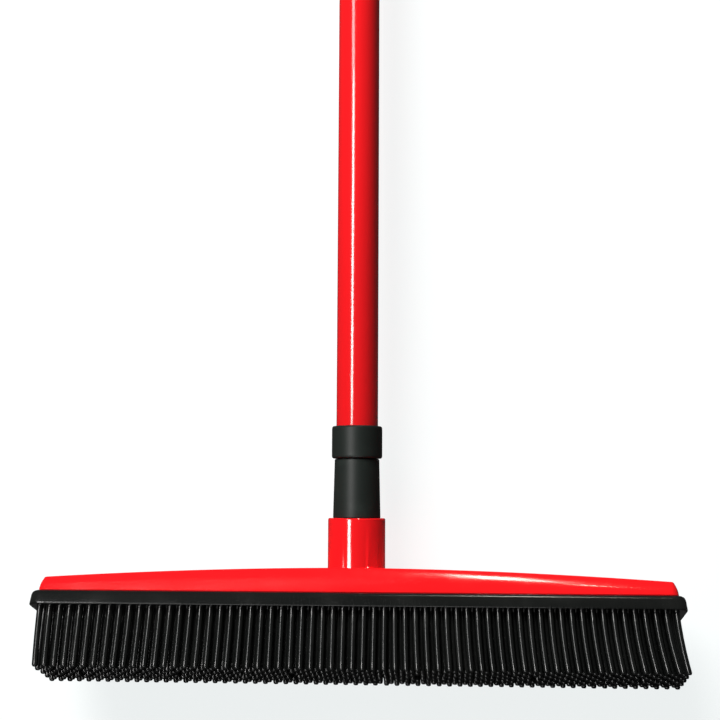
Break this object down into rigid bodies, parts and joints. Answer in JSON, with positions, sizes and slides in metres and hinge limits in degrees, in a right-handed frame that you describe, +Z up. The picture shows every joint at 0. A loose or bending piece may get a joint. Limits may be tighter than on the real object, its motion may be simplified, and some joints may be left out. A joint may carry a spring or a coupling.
{
  "type": "rubber push broom",
  "caption": "Rubber push broom: an arched head with a pad of tapered rubber fingers, on a telescopic twist-lock handle with a grip and a hanging eye.",
  "frame": {"origin": "centre of the hole in the hanging eye at the handle's top end, at mid thickness", "axes": "+Z up along the handle, +X along the head, -Y towards the user; the head leans 17.5 degrees, so its rubber fingers point down and towards -Y"},
  "size_m": [0.333, 0.0481, 0.8947],
  "materials": {
    "red_housing": "glossy moulded red plastic",
    "red_paint": "glossy red powder coat on steel tube",
    "black_plastic": "satin moulded black plastic",
    "black_rubber": "soft moulded black rubber",
    "grip_foam": "matt black rubber sleeve",
    "steel_tube": "glossy red powder coat on steel tube",
    "white_nylon": "natural nylon",
    "zinc_steel": "zinc-plated steel"
  },
  "bodies": {
    "upper_handle": {"inner_tube": "steel_tube", "lock_plug": "white_nylon", "plug_pin": "zinc_steel", "cam_screw": "zinc_steel", "hand_grip": "grip_foam", "end_cap": "black_plastic"},
    "cam": {"cam_ring": "white_nylon"},
    "lower_handle": {"outer_tube": "red_paint", "tube_collar": "black_plastic", "ferrule": "black_plastic", "ferrule_pin": "zinc_steel", "guide_bush": "black_plastic"},
    "head": {"head_housing": "red_housing", "core_plate": "black_plastic", "brush_pad": "black_rubber", "pad_screw_1": "zinc_steel", "pad_screw_2": "zinc_steel", "pad_screw_3": "zinc_steel", "pad_screw_4": "zinc_steel", "pad_screw_5": "zinc_steel", "pad_screw_6": "zinc_steel"}
  },
  "joints": [
    {"name": "twist_lock", "type": "hinge", "parent": "upper_handle", "child": "cam", "pos_m": [0, 0, -0.7], "axis": [0, 0, 1], "range_deg": [0, 90]},
    {"name": "handle_extend", "type": "slide", "parent": "cam", "child": "lower_handle", "axis": [0, 0, -1], "range_m": [0, 0.45]},
    {"name": "head_unscrew", "type": "hinge", "parent": "lower_handle", "child": "head", "pos_m": [0, 0, -0.81], "axis": [0, 0, -1], "range_deg": [0, 900]}
  ]
}
